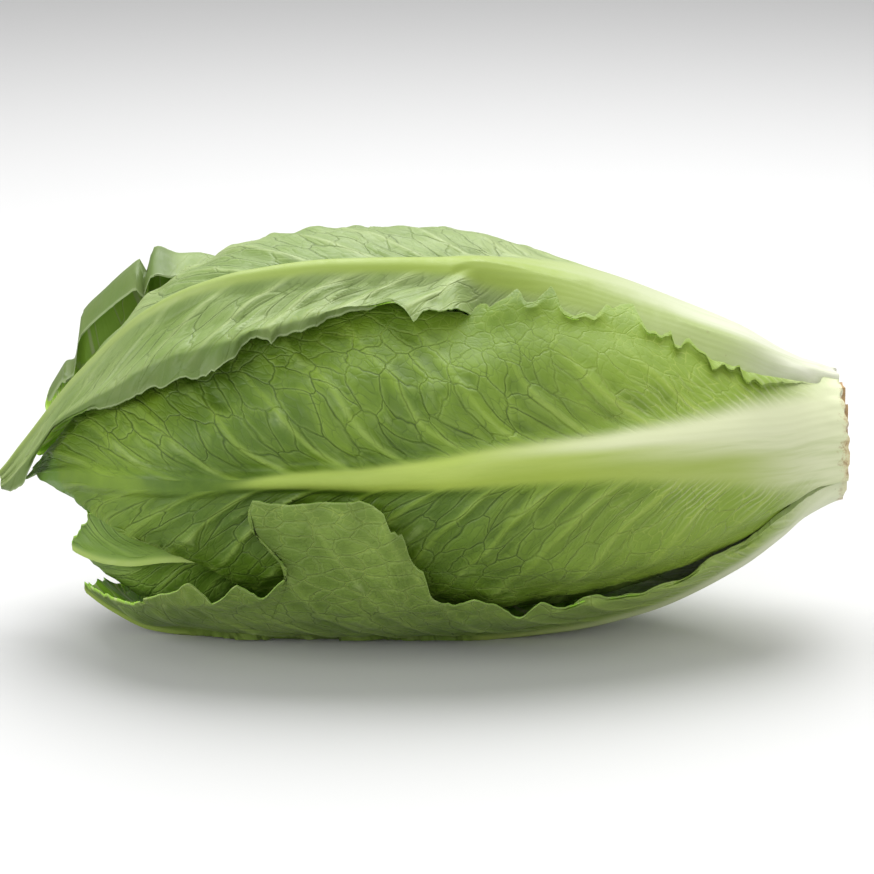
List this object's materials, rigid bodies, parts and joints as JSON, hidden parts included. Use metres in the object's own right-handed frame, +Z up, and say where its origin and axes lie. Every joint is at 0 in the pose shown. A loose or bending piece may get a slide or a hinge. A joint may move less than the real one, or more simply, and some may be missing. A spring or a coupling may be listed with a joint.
{
  "type": "romaine lettuce head",
  "caption": "Whole head of romaine lettuce lying on its side: long leaves wrapped over one another, with broad pale ribs and torn, waved margins, a cut butt and a closed heart.",
  "frame": {"origin": "under the middle of the head, on the surface it lies on", "axes": "+X along the head to the cut butt, -X to the leaf tips, +Z up as it lies, -Y to the side of the largest leaf"},
  "size_m": [0.29, 0.15, 0.1416],
  "materials": {
    "outer_leaf": "thin puckered leaf with a slightly waxy sheen, green, paler along the rib",
    "inner_leaf": "thin tender leaf, yellow-green, paler along the rib",
    "core": "crisp near-white stem with a dull, slightly browned cut face"
  },
  "bodies": {
    "root": {"stem": "core", "leaf_01": "outer_leaf", "leaf_02": "outer_leaf", "leaf_03": "outer_leaf", "leaf_04": "outer_leaf", "leaf_05": "outer_leaf", "leaf_06": "outer_leaf", "leaf_07": "outer_leaf", "leaf_08": "outer_leaf", "leaf_09": "outer_leaf", "leaf_10": "outer_leaf", "leaf_11": "inner_leaf", "leaf_12": "inner_leaf", "leaf_13": "inner_leaf", "leaf_14": "inner_leaf", "leaf_15": "inner_leaf", "leaf_16": "inner_leaf", "leaf_17": "inner_leaf", "leaf_18": "inner_leaf", "heart": "inner_leaf"}
  },
  "joints": []
}
